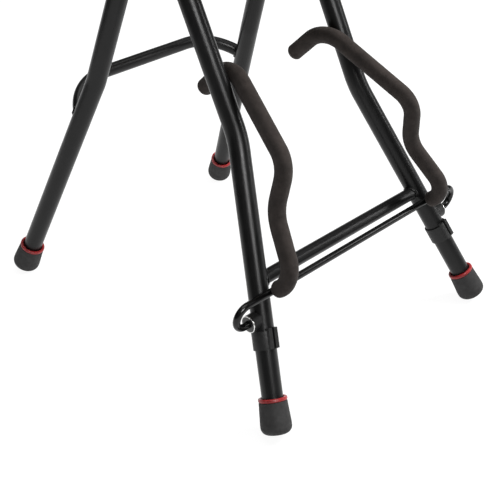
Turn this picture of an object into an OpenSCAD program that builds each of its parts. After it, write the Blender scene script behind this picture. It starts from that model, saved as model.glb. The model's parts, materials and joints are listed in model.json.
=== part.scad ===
// Folding guitarist's seat with a fold-out guitar rack.
// X is across the seat, Y runs from front to back, Z is up and the floor is z = 0.
// The front frame is flat and leans back. Much of it is placed in its own plane: across (x), along
// the slope from the floor (s), and in front of the plane (d). in_front_plane() maps (x, -d, s) there.

/* [Tubes] */
// Diameter of the leg and top tubes
tube_d = 25.4; // [22:0.1:26]
// Wall of the leg and top tubes
tube_wall = 1.5; // [1:0.1:2]
// Diameter of the crossbar and stretcher tubes
brace_d = 17; // [14:0.5:18]
// Diameter of the cradle rod
rod_d = 8.8; // [8:0.1:9]

/* [Front frame] */
// Lean of the front frame from upright, in degrees
front_lean = 27.7; // [25:0.1:29]
// Distance of the front feet in front of the origin
front_reach = 258; // [250:1:265]
// Half width between the front tube axes at the floor
front_foot_x = 201; // [195:0.5:205]
// Half width between the front tube axes above the bend
front_top_x = 107.4; // [106:0.1:110]
// Height of the front bend along the slope
front_bend_s = 339.5; // [330:0.5:345]
// Height of the crossbar along the slope
crossbar_s = 178.5; // [176:0.5:182]

/* [Rear frame] */
// Distance of the rear feet behind the origin
rear_reach = 256.5; // [250:0.5:262]
// Half width between the rear tube axes at the floor
rear_foot_x = 196.8; // [192:0.1:200]
// Half width between the rear tube axes at the bend
rear_bend_x = 137; // [134:0.5:140]
// Distance of the rear bend behind the origin
rear_bend_y = 122.2; // [118:0.1:126]
// Height of the rear bend above the floor
rear_bend_z = 312; // [306:1:318]
// Half width between the rear tube axes at the top bar
rear_top_x = 117; // [115:0.5:120]

/* [Top] */
// Height of the two top bars above the floor
bar_z = 522; // [515:1:525]
// Distance between the two top bars
bar_gap = 30; // [29:0.5:32]
// Bend radius of the tubes where they meet the top bars
corner_r = 40; // [36:1:44]
// Diameter of the seat
seat_d = 330; // [310:5:350]
// Thickness of the seat cushion above its board
cushion_h = 50; // [40:1:60]

/* [Guitar cradle] */
// Height of the cradle pivot along the slope
pivot_s = 139.5; // [138:0.5:141]
// Distance along the slope from the pivot up to the cradle rod
rod_rise = 25.3; // [24.5:0.1:26]
// Half width to the start of the hairpin bends
hook_x = 189.6; // [188:0.1:191]
// Outer diameter of the foam on the arms
foam_d = 21; // [19:0.5:23]

/* [Hidden] */

$fn = 64;
LEFT = -1;
RIGHT = 1;
fit = 0.08;        // radial clearance of a shaft in its bore
snug = 0.02;       // clearance between pieces that are fixed to each other
gap = 0.3;         // clearance between parts that move past each other

tube_r = tube_d / 2;
brace_r = brace_d / 2;
rod_r = rod_d / 2;
foam_r = foam_d / 2;

// The two top bars: A is the front frame's, B the rear frame's.
bar_s = bar_z / cos(front_lean);
bar_a_y = bar_s * sin(front_lean) - front_reach;
bar_b_y = bar_a_y + bar_gap;
leg_bend_r = 110;  // radius of the gentle bends in the legs
stub_len = corner_r + 2;  // half the bar ends where the corner bends begin

// Feet
foot_len = 43;     // length of a rubber foot along its leg
foot_top_r = 16.8;    // at the mouth, where the red ring sits
foot_max_r = 18.6;
foot_round = 9;    // rounding of the foot's sole
ring_h = 4.2;
ring_bore_r = 14.2;  // the ring stands clear of the leg
disc_h = 2;
disc_r = tube_r - 0.6;
tube_end_above_sole = 12;
front_tilt = atan(sqrt(pow(front_reach - bend_y(), 2) + pow(front_foot_x - front_top_x, 2)) / bend_z());
rear_tilt = atan(sqrt(pow(rear_reach - rear_bend_y, 2) + pow(rear_foot_x - rear_bend_x, 2)) / rear_bend_z);

function bend_y() = front_bend_s * sin(front_lean) - front_reach;
function bend_z() = front_bend_s * cos(front_lean);

// A foot's sole is square to its leg, so its lowest point is the edge of the sole.
function sole_lift(tilt) = (foot_max_r - foot_round) * sin(tilt) + foot_round * (1 - cos(tilt));

// Cradle
rod_front = tube_r + rod_r + gap;      // the folded rod rests in front of the legs
hairpin_r = sqrt(pow(rod_rise, 2) + pow(rod_front, 2)) / 2;
rod_s = pivot_s + rod_rise;
arm_bends = [27, 42, 33, 38];
arm_points = [                         // [x, s, d] of one arm's corners
    [146, rod_s, rod_front], [146, rod_s + 5.6, 55.9], [124.6, 250.2, 39.4],
    [115, 299.7, 72.7], [81, 421.6, 1.3], [79.5, 404.4, -58.3]
];
foam_start = 5;                        // the foam begins just in front of the rod
foam_past_end = 5.5;                   // thickness of its closed end

// Seat
board_h = 12;
board_r = seat_d / 2 - 5;
plate_h = 2;
strap_wall = 2.3;
board_z = bar_z + tube_r + fit + strap_wall + plate_h;
seat_y = (bar_a_y + bar_b_y) / 2;
plate_size = [104, 150];
strap_x = 38;
strap_w = 22;
bracket_x = 62;
bracket_t = 5;
screw_spots = [[-40, -62], [40, -62], [-40, 62], [40, 62]];

// ---------- helpers ----------
function unit(v) = v / norm(v);
function front_point(x, s, d) =
    [x, s * sin(front_lean) - d * cos(front_lean) - front_reach, s * cos(front_lean) + d * sin(front_lean)];
function flip(points) = [for (p = points) [-p[0], p[1], p[2]]];

// Places children() with its Z axis along b - a, starting at a.
module along(a, b) {
    v = unit(b - a);
    translate(a) rotate([0, acos(v[2]), atan2(v[1], v[0])]) children();
}

// A straight round bar or tube from a to b.
module straight(a, b, r, bore = 0) {
    along(a, b) bar(norm(b - a), r, bore);
}

module bar(length, r, bore = 0) {
    if (bore > 0)
        difference() {
            cylinder(h = length, r = r);
            translate([0, 0, -1]) cylinder(h = length + 2, r = bore);
        }
    else
        cylinder(h = length, r = r);
}

// A round bend that starts up the Z axis at the origin and turns towards +X.
module elbow(bend_r, turn, r, bore = 0) {
    translate([bend_r, 0, 0])
        rotate([90, 0, 180])
            rotate_extrude(angle = turn)
                translate([bend_r, 0])
                    difference() {
                        circle(r = r);
                        if (bore > 0) circle(r = bore);
                    }
}

// Moves to where a bend row ends.
module past_bend(row) {
    rotate([0, 0, row[3]])
        translate([row[1], 0, 0]) rotate([0, row[2], 0]) translate([-row[1], 0, 0])
            children();
}

// A bar or tube bent to a schedule, starting up the Z axis from the origin. Each row is
// [straight length, bend radius, bend angle, turn about the bar before the bend]; the last row has no
// bend. A bend is a hair fatter than the straights, as a pressed bend is, and laps over their ends.
// Children are placed where the bar ends.
lap = 0.6;
fat = 0.04;
module scheduled_bar(schedule, r, bore, i = 0) {
    row = schedule[i];
    first = i == 0;
    last = i == len(schedule) - 1;
    translate([0, 0, first ? 0 : -lap]) bar(row[0] + (first ? 0 : lap) + (last ? 0 : lap), r, bore);
    translate([0, 0, row[0]])
        if (last)
            children();
        else {
            rotate([0, 0, row[3]]) elbow(row[1], row[2], r + fat, bore > 0 ? bore - fat : 0);
            past_bend(row) scheduled_bar(schedule, r, bore, i + 1) children();
        }
}

// The bending schedule of a path through points, with a bend radius at each inner point.
function way(p, i) = unit(p[i + 1] - p[i]);
function side_of_bend(p, i) = unit(way(p, i) - way(p, i - 1) * (way(p, i) * way(p, i - 1)));
function angle_of_bend(p, i) = acos(way(p, i) * way(p, i - 1));
function x_axis_after(p, i) = i == 0
    ? start_x_axis(way(p, 0))
    : unit(way(p, i) * cos(angle_of_bend(p, i)) - way(p, i - 1));
function start_x_axis(v) =
    [v[2] * cos(atan2(v[1], v[0])), v[2] * sin(atan2(v[1], v[0])), -sqrt(1 - v[2] * v[2])];
function roll_of_bend(p, i) =
    let (x = x_axis_after(p, i - 1), n = side_of_bend(p, i))
        atan2(cross(x, n) * way(p, i - 1), x * n);
function cut_at(p, radii, i) = (i == 0 || i == len(p) - 1) ? 0 : radii[i - 1] * tan(angle_of_bend(p, i) / 2);
function schedule_of(p, radii) = [for (i = [1 : len(p) - 1])
    let (length = norm(p[i] - p[i - 1]) - cut_at(p, radii, i - 1) - cut_at(p, radii, i))
        i == len(p) - 1 ? [length] : [length, radii[i - 1], angle_of_bend(p, i), roll_of_bend(p, i)]];

module bent_bar(points, radii, r, bore = 0) {
    along(points[0], points[1]) scheduled_bar(schedule_of(points, radii), r, bore) children();
}

// Children at (x, -d, s) of the front frame's plane.
module in_front_plane() {
    translate([0, -front_reach, 0]) rotate([-front_lean, 0, 0]) children();
}

// Children drawn for the right side, or mirrored to the left.
module on_side(side) {
    if (side == LEFT) mirror([1, 0, 0]) children();
    else children();
}

// ---------- front frame ----------
front_floor_point = front_point(front_foot_x, 0, 0);
front_bend_point = front_point(front_top_x, front_bend_s, 0);
front_axis = unit(front_bend_point - front_floor_point);
front_sole = front_floor_point + front_axis * sole_lift(front_tilt) / front_axis[2];
front_points = [
    front_sole + front_axis * tube_end_above_sole,
    front_bend_point,
    front_point(front_top_x, bar_s, 0),
    front_point(front_top_x - stub_len, bar_s, 0)
];

module leg_tube(points, side) {
    on_side(side) bent_bar(points, [leg_bend_r, corner_r], tube_r, tube_r - tube_wall);
}

module front_leg(side) {
    color("#1c1c1e")
        difference() {
            leg_tube(front_points, side);
            // bore for the cradle's pivot stub, through the outer wall
            on_side(side)
                translate(front_point(pivot_leg_x(), pivot_s, 0)) rotate([0, 90, 0])
                    cylinder(h = 40, r = rod_r + fit);
        }
}
function pivot_leg_x() = front_foot_x - pivot_s * (front_foot_x - front_top_x) / front_bend_s;

module top_bar(y, half) {
    color("#1c1c1e") straight([-half, y, bar_z], [half, y, bar_z], tube_r, tube_r - tube_wall);
}

module front_crossbar() {
    color("#1c1c1e")
        difference() {
            straight(front_point(-crossbar_half(), crossbar_s, 0), front_point(crossbar_half(), crossbar_s, 0),
                brace_r, brace_r - tube_wall);
            for (side = [LEFT, RIGHT])
                on_side(side) straight(front_points[0], front_points[1], tube_r + snug);
        }
}
function crossbar_half() = front_foot_x - crossbar_s * (front_foot_x - front_top_x) / front_bend_s;

// A plate around both bars: tight on the front bar, a running fit on the rear one, with a stop ear.
ear_reach = 27;      // from the rear bar's axis to the end of the ear
ear_w = 12;
ear_t = 4;
module hinge_bracket(side) {
    plate_r = tube_r + 3.2;
    color("#242426")
        on_side(side)
            translate([bracket_x, 0, bar_z]) rotate([90, 0, 90])
                difference() {
                    union() {
                        translate([bar_a_y, 0, 0]) cylinder(h = bracket_t, r = plate_r);
                        translate([bar_b_y, 0, 0]) cylinder(h = bracket_t, r = plate_r);
                        translate([bar_a_y, -plate_r, 0]) cube([bar_gap, plate_r * 2, bracket_t]);
                        translate([bar_b_y, -ear_t / 2, 0]) cube([ear_reach, ear_t, bracket_t]);
                        translate([bar_b_y + plate_r + 1, -ear_t / 2, bracket_t - ear_w])
                            cube([ear_reach - plate_r - 1, ear_t, ear_w]);
                    }
                    translate([bar_a_y, 0, -1]) cylinder(h = bracket_t + 2, r = tube_r + snug);
                    translate([bar_b_y, 0, -1]) cylinder(h = bracket_t + 2, r = tube_r + fit);
                }
}

// A split plastic collar with two ribs facing forward, where the opened cradle's rod rests.
collar_s = 103;
collar_h = 22;
collar_r = tube_r + 2;
rib_out = tube_r + 4.6;
rib_w = 5;
rib_gap = 3;
rib_top = 3;         // the ribs rise above the collar
module stop_collar(side) {
    color("#19191a")
        on_side(side)
            along(front_axis_at(collar_s), front_axis_at(collar_s + collar_h))
                difference() {
                    union() {
                        cylinder(h = collar_h, r = collar_r);
                        for (k = [LEFT, RIGHT])
                            rotate([0, 0, rib_facing])
                                translate([0, k * (rib_w + rib_gap) / 2 - rib_w / 2, 1])
                                    cube([rib_out, rib_w, collar_h - 1 + rib_top]);
                    }
                    translate([0, 0, -1]) cylinder(h = collar_h + rib_top + 2, r = tube_r + fit);
                    rotate([0, 0, rib_facing])
                        translate([0, -rib_gap / 2, -1]) cube([rib_out + 1, rib_gap, collar_h + rib_top + 2]);
                }
}
// Turns the ribs to face straight out of the front plane.
rib_facing = let (x = start_x_axis(front_axis), y = cross(front_axis, x), out = [0, -cos(front_lean), sin(front_lean)])
    atan2(out * y, out * x);
function front_axis_at(s) =
    front_point(front_foot_x - s * (front_foot_x - front_top_x) / front_bend_s, s, 0);

// ---------- cradle pivots ----------
spacer_r = 10.3;
spacer_end = 183.3;
washer_r = 10.5;
washer_t = 1.3;
module pivot_spacer(side) {
    color("#141414")
        on_side(side)
            difference() {
                translate(front_point(pivot_leg_x(), pivot_s, 0)) rotate([0, 90, 0])
                    difference() {
                        cylinder(h = spacer_end - pivot_leg_x(), r = spacer_r);
                        translate([0, 0, -1])
                            cylinder(h = spacer_end - pivot_leg_x() + 2, r = rod_r + fit);
                    }
                straight(front_points[0], front_points[1], tube_r + snug);
            }
}

module pivot_washer(side) {
    color("#c9c9c4")
        on_side(side)
            translate(front_point(spacer_end + gap, pivot_s, 0)) rotate([0, 90, 0])
                difference() {
                    cylinder(h = washer_t, r = washer_r);
                    translate([0, 0, -1]) cylinder(h = washer_t + 2, r = rod_r + snug);
                }
}

module cradle_rod() {
    color("#1a1a1c")
        straight(front_point(-hook_x, rod_s, rod_front), front_point(hook_x, rod_s, rod_front), rod_r);
}

module cradle_hook(side) {
    color("#1a1a1c")
        on_side(side)
            bent_bar([
                front_point(hook_x, rod_s, rod_front),
                front_point(hook_x + hairpin_r, rod_s, rod_front),
                front_point(hook_x + hairpin_r, pivot_s, 0),
                front_point(pivot_leg_x() + 2, pivot_s, 0)
            ], [hairpin_r, hairpin_r], rod_r);
}

// An arm's path, from the side of the rod to the end of the steel inside the foam.
arm_path = [for (p = arm_points) front_point(p[0], p[1], p[2])];
arm_start = arm_path[0] + unit(arm_path[1] - arm_path[0]) * (rod_r - 0.5);
foam_from = arm_path[0] + unit(arm_path[1] - arm_path[0]) * foam_start;
function path_from(p) = concat([p], [for (i = [1 : len(arm_path) - 1]) arm_path[i]]);

module arm_rod(side) {
    color("#2a2a2a")
        on_side(side)
            difference() {
                bent_bar(path_from(arm_start), arm_bends, arm_rod_r);
                straight(front_point(0, rod_s, rod_front), front_point(hook_x, rod_s, rod_front),
                    rod_r + snug);
            }
}

module arm_foam(side) {
    color("#2b2624")
        on_side(side)
            bent_bar(path_from(foam_from), arm_bends, foam_r, arm_rod_r + 2 * fat + snug) foam_tip();
}

// The closed end of the foam, with a round edge. It laps over the foam's end.
module foam_tip() {
    r = foam_r + fat;
    difference() {
        rotate_extrude()
            union() {
                translate([0, -lap]) square([r, foam_past_end - tip_round + lap]);
                square([r - tip_round, foam_past_end]);
                intersection() {
                    translate([r - tip_round, foam_past_end - tip_round]) circle(r = tip_round);
                    translate([0, foam_past_end - tip_round]) square(r);
                }
            }
        translate([0, 0, -1]) cylinder(h = 1 + snug, r = arm_rod_r + fat + snug);
    }
}
tip_round = 4;
arm_rod_r = 4;

// ---------- feet ----------
// A rubber foot around the Z axis, with its sole at z = 0 and the leg's tube going up its middle.
module foot_body() {
    mouth = foot_len - ring_h;
    difference() {
        rotate_extrude()
            difference() {
                union() {
                    translate([foot_max_r - foot_round, foot_round]) circle(r = foot_round);
                    square([foot_max_r - foot_round, foot_round]);
                    translate([0, foot_round])
                        polygon([[0, 0], [foot_max_r, 0], [foot_max_r, 4], [foot_top_r, mouth - foot_round],
                            [0, mouth - foot_round]]);
                }
                translate([-foot_max_r * 2, -1]) square([foot_max_r * 2, foot_len + 2]);
            }
        translate([0, 0, tube_end_above_sole]) cylinder(h = foot_len, r = tube_r + snug);
        translate([0, 0, tube_end_above_sole - disc_h]) cylinder(h = disc_h + 1, r = disc_r + snug);
    }
}

module foot_at(sole, axis, side) {
    on_side(side) along(sole, sole + axis) children();
}

module foot_ring() {
    translate([0, 0, foot_len - ring_h])
        rotate_extrude()
            difference() {
                union() {
                    square([foot_top_r, ring_h - 1.5]);
                    square([foot_top_r - 1.5, ring_h]);
                    translate([foot_top_r - 1.5, ring_h - 1.5]) circle(r = 1.5);
                }
                translate([-1, -1]) square([ring_bore_r + 1, ring_h + 2]);
            }
}

module foot_disc() {
    translate([0, 0, tube_end_above_sole - disc_h]) cylinder(h = disc_h, r = disc_r);
}

// ---------- rear frame ----------
rear_bend_point = [rear_bend_x, rear_bend_y, rear_bend_z];
rear_floor_point = [rear_foot_x, rear_reach, 0];
rear_axis = unit(rear_bend_point - rear_floor_point);
rear_sole = rear_floor_point + rear_axis * sole_lift(rear_tilt) / rear_axis[2];
rear_points = [
    rear_sole + rear_axis * tube_end_above_sole,
    rear_bend_point,
    [rear_top_x, bar_b_y, bar_z],
    [rear_top_x - stub_len, bar_b_y, bar_z]
];

module rear_leg(side) {
    color("#1c1c1e") leg_tube(rear_points, side);
}

// The stretcher is a U behind the rear legs, rising at an angle, with wide round corners.
stretcher_z = 261;       // height where it meets the rear legs
stretcher_rise = 30;     // its slope, in degrees
stretcher_out = 52.5;    // from the legs' axes to the straight part, along the slope
stretcher_r = 80;
stretcher_x = 74;        // half the straight part
stretcher_t = (rear_bend_z - stretcher_z) / rear_bend_z;
stretcher_root = rear_bend_point + (rear_floor_point - rear_bend_point) * stretcher_t;

module in_stretcher_plane() {
    translate([0, stretcher_root[1], stretcher_root[2]]) rotate([stretcher_rise, 0, 0]) children();
}

module rear_stretcher() {
    color("#1c1c1e")
        in_stretcher_plane()
            straight([-stretcher_x, stretcher_out, 0], [stretcher_x, stretcher_out, 0], brace_r,
                brace_r - tube_wall);
}

module stretcher_end(side) {
    sweep = 90 - asin((stretcher_r - stretcher_out) / stretcher_r);
    color("#1c1c1e")
        on_side(side)
            difference() {
                in_stretcher_plane()
                    translate([stretcher_x, stretcher_out - stretcher_r, 0])
                        rotate([0, 0, 90 - sweep])
                            rotate_extrude(angle = sweep)
                                translate([stretcher_r, 0])
                                    difference() {
                                        circle(r = brace_r);
                                        circle(r = brace_r - tube_wall);
                                    }
                straight(rear_points[0], rear_points[1], tube_r + snug);
            }
}

// Lugs on the rear bar that turn up against the brackets' ears when the frame is open.
lug_w = ear_w - bracket_t - 2 * gap;
lug_reach = 25;
lug_t = 5;
module stop_lugs() {
    color("#242426")
        for (side = [LEFT, RIGHT])
            on_side(side)
                translate([bracket_x + bracket_t - ear_w, bar_b_y, bar_z])
                    difference() {
                        translate([0, 0, -ear_t / 2 - gap - lug_t]) cube([lug_w, lug_reach, lug_t]);
                        translate([-1, 0, 0]) rotate([0, 90, 0]) cylinder(h = lug_w + 2, r = tube_r + snug);
                    }
}

module front_foot(side) {
    color("#2e2e2f") foot_at(front_sole, front_axis, side) foot_body();
}
module front_foot_ring(side) {
    color("#a83236") foot_at(front_sole, front_axis, side) foot_ring();
}
module front_foot_discs() {
    color("#9a9a98")
        for (side = [LEFT, RIGHT])
            foot_at(front_sole, front_axis, side) foot_disc();
}
module rear_foot(side) {
    color("#2e2e2f") foot_at(rear_sole, rear_axis, side) foot_body();
}
module rear_foot_ring(side) {
    color("#a83236") foot_at(rear_sole, rear_axis, side) foot_ring();
}
module rear_foot_discs() {
    color("#9a9a98")
        for (side = [LEFT, RIGHT])
            foot_at(rear_sole, rear_axis, side) foot_disc();
}

// ---------- seat ----------
module seat_board() {
    color("#b08d5b")
        translate([0, seat_y, board_z])
            difference() {
                cylinder(h = board_h, r = board_r);
                for (p = screw_spots)
                    translate([p[0], p[1], -1]) cylinder(h = board_h + 2, r = tee_r);
            }
}
tee_r = 3.9;
screw_r = 3;
screw_head_r = 5.5;

module seat_cushion() {
    top_round = 18;
    skirt_r = seat_d / 2;
    color("#1b1b1d")
        translate([0, seat_y, board_z])
            rotate_extrude()
                difference() {
                    union() {
                        square([skirt_r, board_h + cushion_h - top_round]);
                        square([skirt_r - top_round, board_h + cushion_h]);
                        translate([skirt_r - top_round, board_h + cushion_h - top_round]) circle(r = top_round);
                    }
                    translate([-1, -1]) square([board_r + 1, board_h + 1]);
                    translate([-seat_d, -1]) square([seat_d, seat_d]);
                }
}

module seat_plate() {
    color("#242426")
        translate([0, seat_y, board_z - plate_h])
            difference() {
                translate([-plate_size[0] / 2, -plate_size[1] / 2, 0])
                    cube([plate_size[0], plate_size[1], plate_h]);
                for (p = screw_spots)
                    translate([p[0], p[1], -1]) cylinder(h = plate_h + 2, r = screw_r + 0.3);
            }
}

// A welded strap that wraps the front bar, so that the seat tips on it.
module seat_strap(side) {
    outer = tube_r + fit + strap_wall;
    color("#242426")
        translate([side * strap_x - strap_w / 2, bar_a_y, bar_z]) rotate([90, 0, 90])
            difference() {
                union() {
                    cylinder(h = strap_w, r = outer);
                    translate([-outer, 0, 0]) cube([outer * 2, outer, strap_w]);
                }
                translate([0, 0, -1]) cylinder(h = strap_w + 2, r = tube_r + fit);
            }
}

// A pad under the plate that comes down on the rear bar.
rest_long = 24;
module seat_rest(side) {
    low = bar_z + tube_r + gap;
    color("#19191a")
        translate([side * strap_x - strap_w / 2, bar_b_y - rest_long / 2, low])
            cube([strap_w, rest_long, board_z - plate_h - low]);
}

module seat_screws() {
    color("#9a9a98")
        for (p = screw_spots)
            translate([p[0], seat_y + p[1], board_z - plate_h]) {
                translate([0, 0, -3]) cylinder(h = 3, r1 = screw_head_r * 0.7, r2 = screw_head_r);
                cylinder(h = plate_h + board_h - 1, r = screw_r);
            }
}

module tee_nuts() {
    color("#b9b9b4")
        for (p = screw_spots)
            translate([p[0], seat_y + p[1], board_z])
                difference() {
                    cylinder(h = board_h, r = tee_r);
                    translate([0, 0, -1]) cylinder(h = board_h + 2, r = screw_r);
                }
}

front_leg(LEFT);  // front_leg_left
front_leg(RIGHT);  // front_leg_right
top_bar(bar_a_y, front_top_x - stub_len);  // front_top_bar
front_crossbar();
hinge_bracket(LEFT);  // hinge_bracket_left
hinge_bracket(RIGHT);  // hinge_bracket_right
stop_collar(LEFT);  // stop_collar_left
stop_collar(RIGHT);  // stop_collar_right
pivot_spacer(LEFT);  // pivot_spacer_left
pivot_spacer(RIGHT);  // pivot_spacer_right
front_foot(LEFT);  // front_foot_left
front_foot(RIGHT);  // front_foot_right
front_foot_ring(LEFT);  // front_foot_ring_left
front_foot_ring(RIGHT);  // front_foot_ring_right
front_foot_discs();
rear_leg(LEFT);  // rear_leg_left
rear_leg(RIGHT);  // rear_leg_right
top_bar(bar_b_y, rear_top_x - stub_len);  // rear_top_bar
rear_stretcher();
stretcher_end(LEFT);  // stretcher_end_left
stretcher_end(RIGHT);  // stretcher_end_right
stop_lugs();
rear_foot(LEFT);  // rear_foot_left
rear_foot(RIGHT);  // rear_foot_right
rear_foot_ring(LEFT);  // rear_foot_ring_left
rear_foot_ring(RIGHT);  // rear_foot_ring_right
rear_foot_discs();
cradle_rod();
cradle_hook(LEFT);  // cradle_hook_left
cradle_hook(RIGHT);  // cradle_hook_right
pivot_washer(LEFT);  // pivot_washer_left
pivot_washer(RIGHT);  // pivot_washer_right
arm_rod(LEFT);  // arm_rod_left
arm_rod(RIGHT);  // arm_rod_right
arm_foam(LEFT);  // arm_foam_left
arm_foam(RIGHT);  // arm_foam_right
seat_board();
seat_cushion();
seat_plate();
seat_strap(LEFT);  // seat_strap_left
seat_strap(RIGHT);  // seat_strap_right
seat_rest(LEFT);  // seat_rest_left
seat_rest(RIGHT);  // seat_rest_right
seat_screws();
tee_nuts();
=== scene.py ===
import json
import math

import bmesh
import bpy
from mathutils import Matrix, Vector, noise
from mathutils.bvhtree import BVHTree


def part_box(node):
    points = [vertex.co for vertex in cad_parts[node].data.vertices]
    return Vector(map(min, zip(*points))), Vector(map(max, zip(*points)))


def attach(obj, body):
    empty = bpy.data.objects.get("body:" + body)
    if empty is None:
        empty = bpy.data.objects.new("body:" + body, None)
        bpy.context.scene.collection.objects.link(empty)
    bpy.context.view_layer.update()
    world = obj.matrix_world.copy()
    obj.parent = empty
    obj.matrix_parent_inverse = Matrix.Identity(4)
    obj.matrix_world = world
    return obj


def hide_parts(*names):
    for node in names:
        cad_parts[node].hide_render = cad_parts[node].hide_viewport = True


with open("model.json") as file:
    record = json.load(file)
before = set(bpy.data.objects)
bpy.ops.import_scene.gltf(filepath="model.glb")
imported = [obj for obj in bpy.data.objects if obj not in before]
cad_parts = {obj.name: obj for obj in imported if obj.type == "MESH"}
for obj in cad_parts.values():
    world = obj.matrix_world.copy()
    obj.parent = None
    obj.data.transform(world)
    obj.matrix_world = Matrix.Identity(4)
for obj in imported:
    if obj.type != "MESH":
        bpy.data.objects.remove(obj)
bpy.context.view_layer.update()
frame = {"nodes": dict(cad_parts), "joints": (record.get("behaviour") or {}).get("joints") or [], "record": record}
scene = bpy.context.scene
scene.view_settings.view_transform = "Standard"
NODES = frame["nodes"]
JOINTS = {j["name"]: Vector(j["pos_m"]) for j in frame["joints"]}
MM = 0.001
FRONT, REAR, CRADLE, SEAT = "front_frame", "rear_frame", "cradle", "seat"

# ---------------------------------------------------------------- camera
LENS, SENSOR, CLIP_END = 72.55, 36.0, 50.0
CAMERA_PLACE = (-0.8413, -0.8441, 0.8121)
LOOKING_ALONG = Vector((0.60072, 0.59282, -0.53638))

camera_data = bpy.data.cameras.new("camera")
camera_data.lens = LENS
camera_data.sensor_width = SENSOR
camera_data.clip_end = CLIP_END
camera = bpy.data.objects.new("camera", camera_data)
scene.collection.objects.link(camera)
camera.location = CAMERA_PLACE
camera.rotation_euler = LOOKING_ALONG.to_track_quat("-Z", "Y").to_euler()
scene.camera = camera


# ---------------------------------------------------------------- materials
class Shader:
    """A Principled material built from object-space patterns."""

    def __init__(self, name, **constants):
        self.material = bpy.data.materials.new(name)
        self.material.use_nodes = True
        self.tree = self.material.node_tree
        self.shader = self.tree.nodes["Principled BSDF"]
        for key, value in constants.items():
            self.shader.inputs[key.replace("_", " ")].default_value = value
        self.coords = self.node("ShaderNodeTexCoord").outputs["Object"]
        self.normal = None

    def node(self, kind, **settings):
        node = self.tree.nodes.new(kind)
        for key, value in settings.items():
            setattr(node, key, value)
        return node

    def link(self, out, socket):
        self.tree.links.new(out, socket)

    def stretched(self, scale):
        mapping = self.node("ShaderNodeMapping")
        mapping.inputs["Scale"].default_value = scale
        self.link(self.coords, mapping.inputs["Vector"])
        return mapping.outputs["Vector"]

    def noise(self, scale, detail=4.0, rough=0.55, coords=None):
        node = self.node("ShaderNodeTexNoise")
        node.inputs["Scale"].default_value = scale
        node.inputs["Detail"].default_value = detail
        node.inputs["Roughness"].default_value = rough
        self.link(coords or self.coords, node.inputs["Vector"])
        return node.outputs["Fac"]

    def cells(self, scale, feature="F1"):
        node = self.node("ShaderNodeTexVoronoi", feature=feature)
        node.inputs["Scale"].default_value = scale
        self.link(self.coords, node.inputs["Vector"])
        return node.outputs["Distance"]

    def ramp(self, value, stops):
        node = self.node("ShaderNodeValToRGB")
        ramp = node.color_ramp
        while len(ramp.elements) < len(stops):
            ramp.elements.new(0.5)
        for element, (position, color) in zip(ramp.elements, stops):
            element.position = position
            element.color = (*color, 1.0)
        self.link(value, node.inputs["Fac"])
        return node.outputs["Color"]

    def spread(self, value, low, high, span=(0.3, 0.7)):
        node = self.node("ShaderNodeMapRange")
        node.inputs["From Min"].default_value = span[0]
        node.inputs["From Max"].default_value = span[1]
        node.inputs["To Min"].default_value = low
        node.inputs["To Max"].default_value = high
        self.link(value, node.inputs["Value"])
        return node.outputs["Result"]

    def colour(self, value, stops):
        self.link(self.ramp(value, stops), self.shader.inputs["Base Color"])

    def roughness(self, value, low, high):
        self.link(self.spread(value, low, high), self.shader.inputs["Roughness"])

    def bump(self, height, depth_mm):
        node = self.node("ShaderNodeBump")
        node.inputs["Distance"].default_value = depth_mm * MM
        node.inputs["Strength"].default_value = 1.0
        self.link(height, node.inputs["Height"])
        if self.normal is not None:
            self.link(self.normal, node.inputs["Normal"])
        self.normal = node.outputs["Normal"]
        self.link(self.normal, self.shader.inputs["Normal"])


def black_enamel(name, base=0.006, rough=(0.27, 0.36), peel=0.025, shine=0.26):
    s = Shader(name, Specular_IOR_Level=shine)
    cloud = s.noise(14.0, 5.0)
    s.colour(cloud, [(0.35, (base * 0.8,) * 3), (0.65, (base * 1.35, base * 1.35, base * 1.4))])
    s.roughness(s.noise(60.0, 6.0, 0.6), *rough)
    s.bump(s.noise(420.0, 3.0, 0.5), peel)
    s.bump(s.noise(2600.0, 2.0, 0.5), 0.012)
    return s.material


def foam_rubber():
    s = Shader("foam", Sheen_Weight=0.05, Sheen_Roughness=0.6, Specular_IOR_Level=0.15)
    blotch = s.noise(75.0, 7.0, 0.7)
    s.colour(blotch, [(0.3, (0.020, 0.0158, 0.0142)), (0.7, (0.042, 0.034, 0.0305))])
    s.roughness(s.noise(200.0, 3.0), 0.82, 0.98)
    s.bump(s.cells(1500.0), 0.10)
    s.bump(s.noise(500.0, 5.0, 0.7), 0.14)
    s.bump(s.noise(150.0, 4.0, 0.6), 0.35)
    return s.material


def foot_rubber():
    s = Shader("foot_rubber", Specular_IOR_Level=0.25)
    s.colour(s.noise(90.0, 6.0, 0.65), [(0.3, (0.026, 0.0255, 0.0255)), (0.7, (0.042, 0.041, 0.041))])
    s.roughness(s.noise(240.0, 4.0), 0.62, 0.85)
    s.bump(s.noise(900.0, 5.0, 0.7), 0.08)
    return s.material


def red_rubber():
    s = Shader("ring_red", Specular_IOR_Level=0.35)
    s.colour(s.noise(160.0, 4.0), [(0.3, (0.27, 0.017, 0.019)), (0.7, (0.34, 0.025, 0.027))])
    s.roughness(s.noise(300.0, 3.0), 0.3, 0.42)
    s.bump(s.noise(1200.0, 3.0), 0.03)
    return s.material


def moulded_plastic():
    s = Shader("black_plastic", Specular_IOR_Level=0.3)
    s.colour(s.noise(60.0, 4.0), [(0.3, (0.010, 0.010, 0.010)), (0.7, (0.017, 0.017, 0.017))])
    s.roughness(s.noise(200.0, 4.0), 0.38, 0.55)
    s.bump(s.cells(1800.0), 0.03)
    return s.material


def metal(name, bright):
    s = Shader(name, Metallic=1.0)
    s.colour(s.noise(120.0, 6.0, 0.65), [(0.3, (bright * 0.82,) * 3), (0.7, (bright, bright, bright * 0.97))])
    s.roughness(s.noise(500.0, 4.0), 0.2, 0.36)
    s.bump(s.noise(1500.0, 3.0), 0.015)
    return s


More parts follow.
